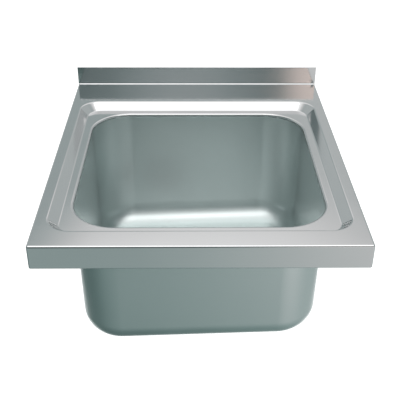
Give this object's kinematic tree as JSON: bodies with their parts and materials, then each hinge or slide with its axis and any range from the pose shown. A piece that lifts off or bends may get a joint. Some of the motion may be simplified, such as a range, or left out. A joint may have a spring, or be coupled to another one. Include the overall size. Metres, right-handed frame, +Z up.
{
  "type": "single-bowl sink top",
  "caption": "Stainless sink top with a deep bowl, a recessed drip ledge, a rear upstand, folded aprons and a basket waste; it bolts onto a stand.",
  "frame": {"origin": "middle of the four stand fixings, in the plane of the aprons' undersides", "axes": "+X to the right seen from the front, +Y to the back and the upstand, +Z up"},
  "size_m": [0.5, 0.6, 0.3992],
  "materials": {
    "sheet_steel": "satin stainless sheet",
    "bowl_steel": "satin drawn stainless",
    "frame_steel": "mill-finish stainless sheet",
    "plated_nut": "machined stainless",
    "waste_steel": "polished stainless",
    "polished_knob": "polished",
    "chromed_tube": "bright chrome",
    "cast_zinc": "die-cast, dull",
    "black_rubber": "matt",
    "fibre_board": "matt",
    "grey_plastic": "moulded",
    "damping_pad": "bitumen sheet"
  },
  "bodies": {
    "sink": {"top_sheet": "sheet_steel", "bowl": "bowl_steel", "rear_rail": "frame_steel", "front_stiffener": "frame_steel", "rear_stiffener": "frame_steel", "corner_bracket_front_left": "frame_steel", "corner_bracket_front_right": "frame_steel", "corner_bracket_rear_left": "frame_steel", "corner_bracket_rear_right": "frame_steel", "bracket_nuts": "plated_nut", "sound_pad": "damping_pad", "earth_tag": "frame_steel", "strainer_body": "waste_steel", "outlet_stub": "waste_steel", "flange_seal": "black_rubber", "bowl_gasket": "black_rubber", "friction_ring": "fibre_board", "lock_nut": "cast_zinc", "tailpiece_washer": "black_rubber", "coupling_nut": "grey_plastic", "tailpiece": "chromed_tube"},
    "basket": {"basket": "waste_steel", "stem_ring": "black_rubber"},
    "stopper": {"stopper_post": "waste_steel", "stopper_knob": "polished_knob", "stopper_seal": "black_rubber", "stopper_nut": "plated_nut"}
  },
  "joints": [
    {"name": "basket_lift", "type": "slide", "parent": "sink", "child": "basket", "axis": [0, 0, 1], "range_m": [0, 0.36]},
    {"name": "stopper_lift", "type": "slide", "parent": "basket", "child": "stopper", "axis": [0, 0, 1], "range_m": [0, 0.0068]}
  ]
}
